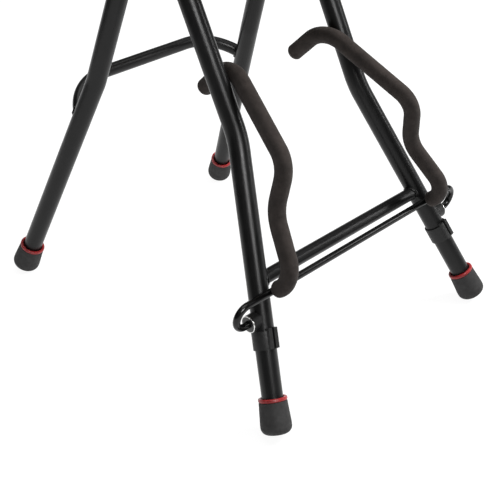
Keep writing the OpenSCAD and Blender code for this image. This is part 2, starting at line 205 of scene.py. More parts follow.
def washer_with_painted_shade():
    """Zinc at the rim, and painted shade over the middle of the washer: there it is dark and not metallic, up to a
    ragged edge.
    """
    ragged_by = 0.6 * MM
    edge = (9.7 * MM, 10.1 * MM)
    s = metal("washer_with_painted_shade", 0.8)
    offset = s.node("ShaderNodeVectorMath", operation="SUBTRACT")
    s.link(s.coords, offset.inputs[0])
    offset.inputs[1].default_value = JOINTS["cradle_fold"]
    across = s.node("ShaderNodeVectorMath", operation="MULTIPLY")
    s.link(offset.outputs[0], across.inputs[0])
    across.inputs[1].default_value = (0, 1, 1)
    away = s.node("ShaderNodeVectorMath", operation="LENGTH")
    s.link(across.outputs[0], away.inputs[0])
    ragged = s.node("ShaderNodeMath", operation="MULTIPLY_ADD")
    s.link(s.noise(700.0, 3.0), ragged.inputs[0])
    ragged.inputs[1].default_value = ragged_by
    s.link(away.outputs["Value"], ragged.inputs[2])
    # bright is 1 on the zinc rim and 0 over the middle, where the washer's colour is painted shade
    bright = s.spread(ragged.outputs[0], 0.0, 1.0, edge)
    s.colour(bright, [(0.0, (0.012, 0.012, 0.012)), (1.0, (0.8, 0.8, 0.78))])
    s.link(bright, s.shader.inputs["Metallic"])
    return s.material


def seat_vinyl():
    s = Shader("seat_vinyl", Coat_Weight=0.14, Coat_Roughness=0.22)
    s.colour(s.noise(24.0, 5.0), [(0.3, (0.007, 0.007, 0.0075)), (0.7, (0.012, 0.012, 0.0125))])
    s.roughness(s.noise(160.0, 5.0), 0.32, 0.46)
    grain = s.cells(620.0, "DISTANCE_TO_EDGE")
    s.bump(s.spread(grain, 0.0, 1.0, (0.0, 0.22)), 0.14)
    s.bump(s.noise(1700.0, 3.0), 0.04)
    return s.material


def plywood():
    s = Shader("plywood", Roughness=0.7)
    plies = s.noise(1.0, 2.0, 0.5, s.stretched((3.0, 3.0, 520.0)))
    grain = s.noise(1.0, 7.0, 0.6, s.stretched((14.0, 150.0, 14.0)))
    mix = s.node("ShaderNodeMath", operation="MULTIPLY_ADD")
    s.link(plies, mix.inputs[0])
    mix.inputs[1].default_value = 0.5
    s.link(grain, mix.inputs[2])
    s.colour(mix.outputs[0], [(0.45, (0.24, 0.14, 0.07)), (0.7, (0.46, 0.31, 0.17)),
                              (0.95, (0.56, 0.41, 0.25))])
    s.bump(grain, 0.1)
    return s.material


PAINT = black_enamel("black_paint")
ROD_PAINT = black_enamel("rod_paint", 0.004, (0.14, 0.22), 0.02, 0.3)
WELD = black_enamel("weld_paint", 0.005, (0.28, 0.4), 0.12)
FOAM = foam_rubber()
RUBBER = foot_rubber()
RED = red_rubber()
PLASTIC = moulded_plastic()
ZINC = metal("zinc", 0.72).material
STEEL = metal("bare_steel", 0.5).material
WASHER_PAINTED_SHADE = washer_with_painted_shade()
VINYL = seat_vinyl()
PLY = plywood()
THREAD = black_enamel("thread", 0.02, (0.55, 0.7), 0.08)
BY_SLOT = {
    "black_paint": PAINT, "bare_steel": STEEL, "zinc": ZINC, "black_plastic": PLASTIC,
    "foot_rubber": RUBBER, "ring_red": RED, "foam": FOAM, "seat_vinyl": VINYL, "plywood": PLY,
}
SLOTS = {part["node"]: part["material_slot"] for part in frame["record"]["subparts"]}


def look_of(name):
    """The cradle's rods are glossier than the tubes, and its washers have painted shade over their middle."""
    if name.startswith("cradle_"):
        return ROD_PAINT
    return WASHER_PAINTED_SHADE if "washer" in name else BY_SLOT[SLOTS[name]]


for name, node in NODES.items():
    node.data.materials.clear()
    node.data.materials.append(look_of(name))


# ---------------------------------------------------------------- making pieces
def mesh_from(bm, name):
    """The mesh of bm, with its faces turned outwards."""
    bmesh.ops.recalc_face_normals(bm, faces=bm.faces)
    mesh = bpy.data.meshes.new(name)
    bm.to_mesh(mesh)
    bm.free()
    return mesh


def add_object(name, data):
    made = bpy.data.objects.new(name, data)
    scene.collection.objects.link(made)
    return made


def add_piece(name, shape, body, material):
    """A smooth piece from a mesh or a bmesh, which rides on body."""
    mesh = mesh_from(shape, name) if isinstance(shape, bmesh.types.BMesh) else shape
    mesh.name = name
    for polygon in mesh.polygons:
        polygon.use_smooth = True
    piece = add_object(name, mesh)
    mesh.materials.clear()
    mesh.materials.append(material)
    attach(piece, body)
    return piece


def unit(v):
    return v.normalized()


def filleted(points, radii, step):
    """Points about step apart along a path with a round bend at each inner corner."""
    out = [points[0].copy()]

    def run_to(end):
        start = out[-1]
        count = max(1, int(round((end - start).length / step)))
        out.extend(start.lerp(end, (i + 1) / count) for i in range(count))

    for i in range(1, len(points) - 1):
        a, b = unit(points[i] - points[i - 1]), unit(points[i + 1] - points[i])
        angle = a.angle(b)
        cut = radii[i - 1] * math.tan(angle / 2)
        start = points[i] - a * cut
        side = unit(b - a * b.dot(a))
        run_to(start)
        count = max(2, int(round(radii[i - 1] * angle / step)))
        for k in range(1, count + 1):
            t = angle * k / count
            out.append(start + a * (radii[i - 1] * math.sin(t)) + side * (radii[i - 1] * (1 - math.cos(t))))
    run_to(points[-1])
    return out


def swept(path, radius_at, around, closed=False):
    """A tube along path; radius_at(index, angle, distance along, way out) gives its radius."""
    bm = bmesh.new()
    count = len(path)
    tangent = [unit(path[(i + 1) % count if closed else min(i + 1, count - 1)]
                    - path[(i - 1) % count if closed else max(i - 1, 0)]) for i in range(count)]
    side = unit(tangent[0].orthogonal())
    distance, rings = 0.0, []
    for i, point in enumerate(path):
        if i:
            distance += (point - path[i - 1]).length
            side = unit(side - tangent[i] * side.dot(tangent[i]))
        up = tangent[i].cross(side)
        ring = []
        for k in range(around):
            angle = 2 * math.pi * k / around
            out = side * math.cos(angle) + up * math.sin(angle)
            ring.append(bm.verts.new(point + out * radius_at(i, angle, distance, out)))
        rings.append(ring)
    pairs = list(zip(rings, rings[1:])) + ([(rings[-1], rings[0])] if closed else [])
    for low, high in pairs:
        for k in range(around):
            bm.faces.new((low[k], low[(k + 1) % around], high[(k + 1) % around], high[k]))
    if not closed:
        bm.faces.new(reversed(rings[0]))
        bm.faces.new(rings[-1])
    return bm


def lathed(profile, matrix, around=72):
    """A turned solid: profile is (radius, height) from the middle of one end to the middle of the other."""
    bm = bmesh.new()
    rings = []
    for radius, height in profile:
        if radius < 1e-7:
            rings.append([bm.verts.new(matrix @ Vector((0, 0, height)))])
            continue
        rings.append([bm.verts.new(matrix @ Vector((radius * math.cos(2 * math.pi * k / around),
                                                    radius * math.sin(2 * math.pi * k / around), height)))
                      for k in range(around)])
    for low, high in zip(rings, rings[1:]):
        for k in range(around):
            n = (k + 1) % around
            corners = [low[k % len(low)], low[n % len(low)], high[n % len(high)], high[k % len(high)]]
            corners = list(dict.fromkeys(corners))
            if len(corners) > 2:
                bm.faces.new(corners)
    return bm


def rounded_corners(profile, radius, steps=5):
    """Rounds the inner corners of a profile."""
    points = [Vector(p) for p in profile]
    out = [points[0]]
    for i in range(1, len(points) - 1):
        a, b = points[i] - points[i - 1], points[i + 1] - points[i]
        r = min(radius, a.length * 0.45, b.length * 0.45)
        start, end = points[i] - a.normalized() * r, points[i] + b.normalized() * r
        for k in range(steps + 1):
            t = k / steps
            out.append(start * (1 - t) ** 2 + points[i] * (2 * t * (1 - t)) + end * t ** 2)
    out.append(points[-1])
    return [(p.x, p.y) for p in out]


def frame_on(origin, axis):
    """A matrix whose Z axis is along axis, at origin."""
    return Matrix.Translation(origin) @ axis.to_track_quat("Z", "Y").to_matrix().to_4x4()


FLAT_ANGLE, HARD_ANGLE = math.radians(1.0), math.radians(35.0)


def softened(name, node, body, width, segments=2):
    """A copy of a CAD node with its hard edges rounded, which stands for it."""
    source = NODES[node]
    bm = bmesh.new()
    bm.from_mesh(source.data)
    bmesh.ops.remove_doubles(bm, verts=bm.verts, dist=1e-5)
    bmesh.ops.dissolve_limit(bm, angle_limit=FLAT_ANGLE, verts=bm.verts, edges=bm.edges)
    edges = [e for e in bm.edges if len(e.link_faces) == 2 and e.calc_face_angle(0) > HARD_ANGLE]
    bmesh.ops.bevel(bm, geom=edges, offset=width, segments=segments, profile=0.6, affect="EDGES",
                    clamp_overlap=True)
    piece = add_piece(name, bm, body, source.data.materials[0])
    piece.data.set_sharp_from_angle(angle=math.radians(50))
    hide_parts(node)


# ---------------------------------------------------------------- the floor and the light
def plane(name, size, location):
    bpy.ops.mesh.primitive_plane_add(size=size, location=location)
    made = bpy.context.object
    made.name = name
    return made


WHITE = (1, 1, 1, 1)
FLOOR_SIZE, CARD_SIZE, CARD_SHAPE = 14.0, 2.4, 0.62
CARD_TURN = math.radians(55)
LIGHT_ON_OBJECT, LIGHT_FOR_CAMERA = 0.15, 1.0

floor = plane("floor", FLOOR_SIZE, (0, 0, 0))
floor_shader = Shader("floor_paint", Roughness=0.75, Specular_IOR_Level=0.1, Emission_Strength=0.94)
floor_shader.shader.inputs["Emission Color"].default_value = WHITE
floor_shader.colour(floor_shader.noise(0.8, 2.0), [(0.3, (0.13, 0.13, 0.13)), (0.7, (0.14, 0.14, 0.14))])
floor.data.materials.append(floor_shader.material)

# a black card behind the left of the set, which only gloss sees, keeps the tubes' left edges dark
card = plane("black_card", CARD_SIZE, (-1.15, 0.8, 0.75))
card.rotation_euler = (math.pi / 2, 0, CARD_TURN)
card.scale.y = CARD_SHAPE
card_shader = Shader("black_card", Roughness=1.0, Specular_IOR_Level=0.0)
card_shader.shader.inputs["Base Color"].default_value = (0.002, 0.002, 0.002, 1)
card.data.materials.append(card_shader.material)
card.visible_camera = False
card.visible_diffuse = False
card.visible_shadow = False
card.visible_transmission = False

# the world is white to the camera and dimmer as a light
world = bpy.data.worlds.new("studio")
scene.world = world
world.use_nodes = True
backdrop = world.node_tree.nodes["Background"]
backdrop.inputs["Color"].default_value = WHITE
rays = world.node_tree.nodes.new("ShaderNodeLightPath")
level = world.node_tree.nodes.new("ShaderNodeMapRange")
level.inputs["To Min"].default_value = LIGHT_ON_OBJECT
level.inputs["To Max"].default_value = LIGHT_FOR_CAMERA
world.node_tree.links.new(rays.outputs["Is Camera Ray"], level.inputs["Value"])
world.node_tree.links.new(level.outputs["Result"], backdrop.inputs["Strength"])


def softbox(name, location, target, size, energy):
    """A rectangular area light that faces target."""
    data = bpy.data.lights.new(name, "AREA")
    data.shape = "RECTANGLE"
    data.size, data.size_y = size
    data.energy = energy
    light = add_object(name, data)
    light.location = location
    light.rotation_euler = (Vector(target) - Vector(location)).to_track_quat("-Z", "Y").to_euler()
    return light


MIDDLE = (0, 0, 0.3)
softbox("top_light", (0.2, 0.2, 2.6), (0, 0, 0.2), (2.2, 2.2), 38)
left = softbox("left_light", (-2.3, 0.4, 1.2), MIDDLE, (0.3, 1.8), 9)
softbox("right_light", (1.9, -1.5, 1.3), MIDDLE, (0.3, 1.8), 14)
gleam = softbox("gleam_light", (-0.95, -2.5, 2.3), MIDDLE, (1.3, 1.3), 88)
fill = softbox("fill_light", (1.6, -0.9, 2.2), MIDDLE, (1.0, 1.0), 92)
# the left and gleam lights give gloss only, and the fill light gives no gloss
left.visible_diffuse = False
gleam.visible_diffuse = False
fill.visible_glossy = False

# ---------------------------------------------------------------- the cradle's foam
LEAN = math.radians(27.7)   # of the front frame, from upright
REACH = 258 * MM            # of the front frame's foot line, in front of the origin


def in_plane(x, s, d):
    """The point x across, s up the slope and d in front of the front frame, in millimetres."""
    return Vector((x * MM, (s * math.sin(LEAN) - d * math.cos(LEAN)) * MM - REACH,
                   (s * math.cos(LEAN) + d * math.sin(LEAN)) * MM))


ROD_S, ROD_D = 164.8, 17.4
# an arm's corners, each given to in_plane(), and the radii of its bends
ARM = [(146, ROD_S, ROD_D), (146, ROD_S + 5.6, 55.9), (124.6, 250.2, 39.4), (115, 299.7, 72.7),
       (81, 421.6, 1.3), (79.5, 404.4, -58.3)]
ARM_BENDS = [27 * MM, 42 * MM, 33 * MM, 38 * MM]
FOAM_R = 10.5 * MM
FOAM_STEP = 1.6 * MM
FROM_ROD = 5 * MM       # from the rod's axis to the start of the foam
PAST_STEEL = 5.4 * MM   # from the end of the arm's path to the end of the foam
START_ROUND, END_ROUND = 4.5 * MM, 4 * MM
UNEVEN, CREASE = 0.10 * MM, 0.38 * MM
LUMP = 9 * MM           # size of the unevenness
NEAR = 4                # the bend at a ring is the mean over this many rings each way
SHARP_BEND = 1 / 14     # a turn this sharp, per ring, has full creases
START_RINGS = (0.02, 0.12, 0.35, 0.7, 1.15)
END_RINGS = (0.01, 0.08, 0.25, 0.6, 1.15)


def foam_sleeve(side, name, node):
    """A sleeve along the arm's path, with round ends and creases inside its bends."""
    points = [in_plane(*p) for p in ARM]
    points[0] = points[0] + unit(points[1] - points[0]) * FROM_ROD
    points[-1] = points[-1] + unit(points[-1] - points[-2]) * PAST_STEEL
    if side < 0:
        points = [Vector((-p.x, p.y, p.z)) for p in points]
    path = filleted(points, ARM_BENDS, FOAM_STEP)
    total = sum((b - a).length for a, b in zip(path, path[1:]))
    # how sharply the path bends at each point, and towards which side
    bend = []
    for i in range(len(path)):
        a, b, c = path[max(i - 1, 0)], path[i], path[min(i + 1, len(path) - 1)]
        bend.append((c - b) - (b - a) if 0 < i < len(path) - 1 else Vector((0, 0, 0)))
    smooth = [sum((bend[j] for j in range(max(i - NEAR, 0), min(i + NEAR + 1, len(bend)))), Vector())
              / (2 * NEAR + 1) for i in range(len(bend))]

    def radius(i, angle, distance, out):
        r = FOAM_R
        for edge, rounding in ((distance, START_ROUND), (total - distance, END_ROUND)):
            if edge < rounding:
                r -= rounding - math.sqrt(max(rounding ** 2 - (rounding - edge) ** 2, 0))
        inner = max(smooth[i].dot(out) / FOAM_STEP / SHARP_BEND, 0.0)
        spot = path[i] / LUMP
        r += UNEVEN * noise.noise(spot + out * 1.3)
        crease = 0.5 + 0.5 * math.sin(distance / MM * 1.6 + 0.8 * noise.noise(spot * 2.0))
        return r - CREASE * min(inner, 1.0) * crease ** 2

    # more rings near the ends, where the edges are round
    start, last = path[0], path[-1]
    a, b = unit(path[1] - path[0]), unit(path[-1] - path[-2])
    head = [start + a * (t * MM) for t in START_RINGS]
    tail = [last - b * (t * MM) for t in reversed(END_RINGS)]
    path = [start] + head + path[1:-1] + tail + [last]
    smooth = [smooth[0]] * (1 + len(head)) + smooth[1:-1] + [smooth[-1]] * (1 + len(tail))
    piece = add_piece(name, swept(path, radius, 48), CRADLE, FOAM)
    piece.data.set_sharp_from_angle(angle=math.radians(70))
    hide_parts(node)


foam_sleeve(-1, "foam_sleeve_left", "arm_foam_left")
foam_sleeve(1, "foam_sleeve_right", "arm_foam_right")

# ---------------------------------------------------------------- rubber feet and red rings
FOOT_R, FOOT_TOP_R, FOOT_ROUND, RING_BORE = 18.6 * MM, 16.8 * MM, 9 * MM, 13.4 * MM
FOOT_LEN, RING_H, TUBE_R = 43 * MM, 4.2 * MM, 12.7 * MM
GROOVE = 0.9 * MM     # depth of the sole's two round grooves
# half widths between the front legs' axes at the floor and at their bends, and the bends' height
LEG_X, LEG_BEND_X, LEG_BEND_S = 201, 107.4, 339.5
REAR_BEND_Z = 312


def leg_axis(s):
    """The point on the right front leg's axis that is s up the slope, in millimetres."""
    return in_plane(LEG_X - s * (LEG_X - LEG_BEND_X) / LEG_BEND_S, s, 0)


LEG_FOOT = in_plane(LEG_X, 0, 0)
LEG_BEND = in_plane(LEG_BEND_X, LEG_BEND_S, 0)
REAR_FOOT = Vector((196.8, 256.5, 0)) * MM
REAR_BEND = Vector((137, 122.2, REAR_BEND_Z)) * MM


def mirrored(point, side):
    return Vector((point.x * side, point.y, point.z))


def foot(name, floor_point, up_point, side, body, nodes):
    """A rubber foot, square to its leg, and its red ring."""
    axis = unit(mirrored(up_point, side) - mirrored(floor_point, side))
    tilt = axis.angle(Vector((0, 0, 1)))
    lift = (FOOT_R - FOOT_ROUND) * math.sin(tilt) + FOOT_ROUND * (1 - math.cos(tilt))
    sole = mirrored(floor_point, side) + axis * (lift / axis.z)
    place = frame_on(sole, axis)
    flat = FOOT_R - FOOT_ROUND
    profile = [(0, GROOVE), (2.2 * MM, GROOVE), (2.8 * MM, 0.05 * MM), (4.6 * MM, 0.05 * MM),
               (5.2 * MM, GROOVE), (6.8 * MM, GROOVE), (7.4 * MM, 0.02 * MM)]
    profile = rounded_corners(profile, 0.25 * MM, 2)
    profile += [(flat + FOOT_ROUND * math.sin(t), FOOT_ROUND * (1 - math.cos(t)))
                for t in [math.radians(a) for a in range(0, 91, 6)]]
    top = FOOT_LEN - RING_H
    upper = [(FOOT_R, FOOT_ROUND), (FOOT_R, FOOT_ROUND + 4 * MM), (FOOT_TOP_R + 0.1 * MM, top - 1.0 * MM),
             (FOOT_TOP_R - 0.5 * MM, top - 0.1 * MM), (TUBE_R + 0.1 * MM, top - 0.1 * MM),
             (TUBE_R + 0.1 * MM, top - 12 * MM)]
    profile += rounded_corners(upper, 0.9 * MM, 4)[1:]
    piece = add_piece(name, lathed(profile, place), body, RUBBER)
    piece.data.set_sharp_from_angle(angle=math.radians(60))
    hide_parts(nodes[0])
    ring_low, ring_high = top + 0.02 * MM, top + RING_H - 0.05 * MM
    ring_profile = [(RING_BORE, ring_low), (FOOT_TOP_R - 0.4 * MM, ring_low),
                    (FOOT_TOP_R + 0.55 * MM, top + 1.1 * MM), (FOOT_TOP_R + 0.2 * MM, ring_high),
                    (RING_BORE + 0.3 * MM, ring_high), (RING_BORE, ring_low)]
    ring = add_piece(name.replace("foot", "ring"), lathed(rounded_corners(ring_profile, 1.1 * MM, 6), place),
                     body, RED)
    # the profile ends where it starts, and its two ends are joined
    bm = bmesh.new()
    bm.from_mesh(ring.data)
    bmesh.ops.remove_doubles(bm, verts=bm.verts, dist=1e-6)
    bmesh.ops.recalc_face_normals(bm, faces=bm.faces)
    bm.to_mesh(ring.data)
    bm.free()
    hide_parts(nodes[1])


for side, word in ((-1, "left"), (1, "right")):
    foot("front_foot_rubber_" + word, LEG_FOOT, LEG_BEND, side, FRONT,
         ["front_foot_" + word, "front_foot_ring_" + word])
    foot("rear_foot_rubber_" + word, REAR_FOOT, REAR_BEND, side, REAR,
         ["rear_foot_" + word, "rear_foot_ring_" + word])


# ---------------------------------------------------------------- weld beads
def rippled(thick, seed, wave, fade=lambda i: 1.0):
    """A bead's radius for swept(): thick, with the ripples of a weld."""
    def radius(i, angle, distance, out):
        grain = 0.14 * noise.noise(Vector((distance * 400, seed, angle)))
        ripple = wave * math.sin(distance / thick * 3.1) + grain
        return thick * (1 + ripple) * fade(i)

    return radius


BRACE_R, JOINT_BEAD = 8.5 * MM, 2.1 * MM
AROUND_JOINT = 56


def weld(name, path, leg_a, leg_b, body):
    """A painted weld where a brace along path comes out of the leg from leg_a to leg_b."""
    leg = unit(leg_b - leg_a)
    side = unit((path[1] - path[0]).orthogonal())
    line = []
    for k in range(AROUND_JOINT):
        angle = 2 * math.pi * k / AROUND_JOINT
        last, found = None, None
        for i in range(len(path)):
            tangent = unit(path[min(i + 1, len(path) - 1)] - path[max(i - 1, 0)])
            across = unit(side - tangent * side.dot(tangent))
            p = path[i] + (across * math.cos(angle) + tangent.cross(across) * math.sin(angle)) * BRACE_R
            out = ((p - leg_a) - leg * (p - leg_a).dot(leg)).length
            if last is not None and out >= TUBE_R > last[1]:
                found = last[0].lerp(p, (TUBE_R - last[1]) / (out - last[1]))
            last = (p, out)
        if found is not None:
            line.append(found)
    radius_at = rippled(JOINT_BEAD, len(name) * 1.7, 0.10)
    add_piece(name, swept(line, radius_at, 14, closed=True), body, WELD)


def line_path(a, b, step=0.5 * MM):
    count = max(2, int((b - a).length / step))
    return [a.lerp(b, i / count) for i in range(count + 1)]


CROSSBAR_S, CROSSBAR_INNER_X = 178.5, 100
STRETCHER_Z, STRETCHER_OUT, STRETCHER_R, STRETCHER_X = 261, 52.5, 80, 74
STRETCHER_RISE = math.radians(30)
ARC_COUNT, ARC_START, ARC_STEP = 60, -4, 0.5     # the last two in degrees
root = REAR_BEND.lerp(REAR_FOOT, (REAR_BEND_Z - STRETCHER_Z) / REAR_BEND_Z)


def stretcher_point(x, e):
    """The point x across and e out from the rear legs, in the stretcher's rising plane."""
    return Vector((x * MM, root.y + e * MM * math.cos(STRETCHER_RISE),
                   root.z + e * MM * math.sin(STRETCHER_RISE)))


end_angle = math.asin((STRETCHER_R - STRETCHER_OUT) / STRETCHER_R)
for side, word in ((-1, "left"), (1, "right")):
    crossbar = line_path(mirrored(leg_axis(CROSSBAR_S), side),
                         mirrored(in_plane(CROSSBAR_INNER_X, CROSSBAR_S, 0), side))
    weld("crossbar_weld_" + word, crossbar, mirrored(LEG_FOOT, side), mirrored(LEG_BEND, side), FRONT)
    arc = []
    for i in range(ARC_COUNT):
        t = end_angle + math.radians(i * ARC_STEP + ARC_START)
        arc.append(mirrored(stretcher_point(STRETCHER_X + STRETCHER_R * math.cos(t),
                                            STRETCHER_OUT - STRETCHER_R + STRETCHER_R * math.sin(t)), side))
    weld("stretcher_weld_" + word, arc, mirrored(REAR_FOOT, side), mirrored(REAR_BEND, side), REAR)

# ---------------------------------------------------------------- hardware with softened edges
for word in ("left", "right"):
    softened("collar_" + word, "stop_collar_" + word, FRONT, 1.0 * MM, 3)
    softened("spacer_" + word, "pivot_spacer_" + word, FRONT, 1.6 * MM, 4)
    softened("washer_" + word, "pivot_washer_" + word, CRADLE, 0.3 * MM)
    softened("bracket_" + word, "hinge_bracket_" + word, FRONT, 0.6 * MM)
    softened("strap_" + word, "seat_strap_" + word, SEAT, 0.5 * MM)
    softened("rest_" + word, "seat_rest_" + word, SEAT, 0.5 * MM)
softened("seat_mounting_plate", "seat_plate", SEAT, 0.4 * MM)
softened("hinge_stop_lugs", "stop_lugs", REAR, 0.5 * MM)

# ---------------------------------------------------------------- welds at the top
WELD_BEAD = 1.5 * MM
BRACKET_FACES = (("inner", 62 * MM), ("outer", 67 * MM))


def bead(name, line, body, closed=False):
    """A painted weld bead along a line, thinner at its ends."""
    def fade(i):
        return 1.0 if closed else min(1.0, 0.35 + 0.65 * min(i, len(line) - 1 - i) / 3)

    radius_at = rippled(WELD_BEAD, len(name) * 0.7, 0.12, fade)
    add_piece(name, swept(line, radius_at, 12, closed=closed), body, WELD)


def ring_line(centre, radius):
    """A circle of points round an axis along X."""
    count = 64
    return [centre + Vector((0, radius * math.cos(2 * math.pi * k / count),
                             radius * math.sin(2 * math.pi * k / count))) for k in range(count)]


top_bar = JOINTS["seat_tip"]
for side, word in ((-1, "left"), (1, "right")):
    for face, x in BRACKET_FACES:
        bead("bracket_weld_%s_%s" % (face, word),
             ring_line(Vector((side * x, top_bar.y, top_bar.z)), TUBE_R + 0.5 * MM), FRONT, closed=True)
    low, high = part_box("seat_strap_" + word)
    for end, y in (("front", low.y), ("back", high.y)):
        line = line_path(Vector((low.x + 1 * MM, y, high.z)), Vector((high.x - 1 * MM, y, high.z)), 0.8 * MM)
        bead("strap_weld_%s_%s" % (end, word), line, SEAT)

# ---------------------------------------------------------------- the seat's screws
HEAD_R, HEAD_H = 5.5 * MM, 3 * MM
SHANK_R, SHANK_LEN = 3 * MM, 13 * MM
RECESS = (4.6 * MM, 1.0 * MM, 3.4 * MM)
SCREW_X, SCREW_Y = 40, 62


def cut_away(work, cutters):
    """The mesh of work without the cutters. All these objects are removed."""
    for cutter in cutters:
        modifier = work.modifiers.new("recess", "BOOLEAN")
        modifier.object = cutter
        modifier.operation = "DIFFERENCE"
        modifier.solver = "EXACT"
    bpy.context.view_layer.update()
    depsgraph = bpy.context.evaluated_depsgraph_get()
    mesh = bpy.data.meshes.new_from_object(work.evaluated_get(depsgraph))
    for temporary in [work] + cutters:
        bpy.data.objects.remove(temporary, do_unlink=True)
    return mesh


def screw(centre, turn):
    """A screw with its head down at centre, and a cross recess turned by turn."""
    profile = [(0, 0.05 * MM), (2.2 * MM, 0.05 * MM), (3.6 * MM, 0.35 * MM),
               (HEAD_R - 0.3 * MM, HEAD_H - 0.7 * MM), (HEAD_R, HEAD_H - 0.3 * MM), (HEAD_R, HEAD_H),
               (SHANK_R, HEAD_H), (SHANK_R, HEAD_H + SHANK_LEN), (0, HEAD_H + SHANK_LEN)]
    place = Matrix.Translation(centre)
    work = add_object("screw", mesh_from(lathed(profile, place, 40), "screw"))
    bar = bmesh.new()
    bmesh.ops.create_cube(bar, size=1.0, matrix=place @ Matrix.Rotation(turn, 4, "Z")
                          @ Matrix.Diagonal((*RECESS, 1)))
    bar_mesh = mesh_from(bar, "recess_bar")
    cutters = []
    for quarter in (0, 1):
        cutter = add_object("recess_bar", bar_mesh)
        cutter.matrix_world = place @ Matrix.Rotation(quarter * math.pi / 2, 4, "Z") @ place.inverted()
        cutters.append(cutter)
    return cut_away(work, cutters)


low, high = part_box("seat_screws")
screws = bmesh.new()
for x in (-SCREW_X, SCREW_X):
    for y in (-SCREW_Y, SCREW_Y):
        centre = Vector((x * MM, (low.y + high.y) / 2 + y * MM, low.z))
        screws.from_mesh(screw(centre, 0.5 + x * 0.07 + y * 0.03))
screw_piece = add_piece("seat_screw_heads", screws, SEAT, ZINC)
screw_piece.data.set_sharp_from_angle(angle=math.radians(40))
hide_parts("seat_screws")

# ---------------------------------------------------------------- the seat
low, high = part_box("seat_cushion")
board_low, board_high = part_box("seat_board")
CENTRE = Vector(((low.x + high.x) / 2, (low.y + high.y) / 2, 0))
SEAT_R = (high.x - low.x) / 2
BOARD_R = (board_high.x - board_low.x) / 2
SEAM_Z = low.z + 43 * MM
SEAM_R = SEAT_R - 4 * MM
HEM_Z = low.z + 7 * MM
VOXEL = 5 * MM
SIM_FRAMES = 20
CAP_SIDE, CAP_TOP = 4.2 * MM, 7 * MM     # how far the simulation may move a point


def cushion_start():
    """The cushion before the pressure swells it: slightly smaller, and remeshed evenly."""
    base = low.z + 0.6 * MM
    side_r = SEAT_R - 2.5 * MM
    profile = [(0, base), (SEAT_R - 4 * MM, base), (side_r, base + 4 * MM), (side_r, low.z + 28 * MM),
               (SEAM_R, SEAM_Z), (SEAM_R - 14 * MM, SEAM_Z + 7 * MM), (SEAT_R * 0.6, SEAM_Z + 13 * MM),
               (0, SEAM_Z + 15 * MM)]
    work = add_object("cushion_work", mesh_from(lathed(profile, Matrix.Translation(CENTRE), 96), "cushion"))
    bpy.context.view_layer.objects.active = work
    remesh = work.modifiers.new("remesh", "REMESH")
    remesh.mode = "VOXEL"
    remesh.voxel_size = VOXEL
    depsgraph = bpy.context.evaluated_depsgraph_get()
    mesh = bpy.data.meshes.new_from_object(work.evaluated_get(depsgraph))
    work.modifiers.clear()
    work.data = mesh
    return work


def from_seam(co):
    return math.hypot(math.hypot(co.x - CENTRE.x, co.y - CENTRE.y) - SEAM_R, co.z - SEAM_Z)


def puffed(work):
    """Cloth under pressure, held at the base and at the seam, with each point's travel capped."""
    rest = [v.co.copy() for v in work.data.vertices]
    pins = work.vertex_groups.new(name="pins")
    for i, co in enumerate(rest):
        if co.z < low.z + 7.6 * MM or from_seam(co) < 4.5 * MM:
            pins.add([i], 1.0, "REPLACE")
    cloth = work.modifiers.new("cloth", "CLOTH")
    settings = cloth.settings
    settings.quality = 6
    settings.mass = 0.3
    settings.tension_stiffness = 18
    settings.compression_stiffness = 18
    settings.shear_stiffness = 6
    settings.bending_stiffness = 0.6
    settings.use_pressure = True
    settings.uniform_pressure_force = 4.0
    settings.vertex_group_mass = "pins"
    settings.effector_weights.gravity = 0.0
    cloth.point_cache.frame_start = 1
    cloth.point_cache.frame_end = SIM_FRAMES
    for f in range(1, SIM_FRAMES + 1):
        scene.frame_set(f)
        bpy.context.view_layer.update()
    depsgraph = bpy.context.evaluated_depsgraph_get()
    after = bpy.data.meshes.new_from_object(work.evaluated_get(depsgraph))
    work.modifiers.clear()
    scene.frame_set(1)
    for i, co in enumerate(rest):
        shift = after.vertices[i].co - co
        cap = CAP_TOP if co.z > SEAM_Z else CAP_SIDE
        if shift.length > cap:
            shift = shift * (cap / shift.length)
        work.data.vertices[i].co = co + shift


def gathered(mesh):
    """Wrinkles gathered at the seam, and a little unevenness."""
    for v in mesh.vertices:
        co = v.co
        out = Vector((co.x - CENTRE.x, co.y - CENTRE.y, 0))
        r = out.length
        if co.z < low.z + 6 * MM or r < 1 * MM:
            continue
        theta = math.atan2(out.y, out.x)
        pucker = math.exp(-(from_seam(co) / (11 * MM)) ** 1.3)
        wave = math.sin(theta * 46 + 2.2 * math.sin(theta * 5)) * (0.6 + 0.4 * math.sin(theta * 9 + 1))
        lift = 0.9 * MM * wave * pucker + 0.9 * MM * noise.noise(co * 22)
        direction = Vector((0, 0, 1)) if co.z > SEAM_Z + 2 * MM else out / r
        v.co = co + direction * lift


def without_board(work):
    """The cushion's mesh with room for the board in its underside."""
    below, above = low.z - 5 * MM, board_high.z + 0.1 * MM
    room = BOARD_R + 0.2 * MM
    shape = lathed([(0, below), (room, below), (room, above), (0, above)], Matrix.Translation(CENTRE), 128)
    return cut_away(work, [add_object("cutter", mesh_from(shape, "cutter"))])


cushion_work = cushion_start()
puffed(cushion_work)
gathered(cushion_work.data)
subdivide = cushion_work.modifiers.new("smooth", "SUBSURF")
subdivide.levels = 1
finished = without_board(cushion_work)
cushion = add_piece("seat_cushion_cover", finished, SEAT, VINYL)
cushion.data.set_sharp_from_angle(angle=math.radians(60))
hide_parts("seat_cushion")

# ---------------------------------------------------------------- the seat's piping and stitches
PIPING_R, ROUND_COUNT = 2.5 * MM, 180
STITCH_COUNT, STITCH_INSET, STITCH_SIZE = 150, 5.5 * MM, (2.3 * MM, 0.5 * MM, 0.45 * MM)
skin = BVHTree.FromPolygons([v.co for v in finished.vertices], [p.vertices[:] for p in finished.polygons])


def way_out(theta):
    return Vector((math.cos(theta), math.sin(theta), 0))


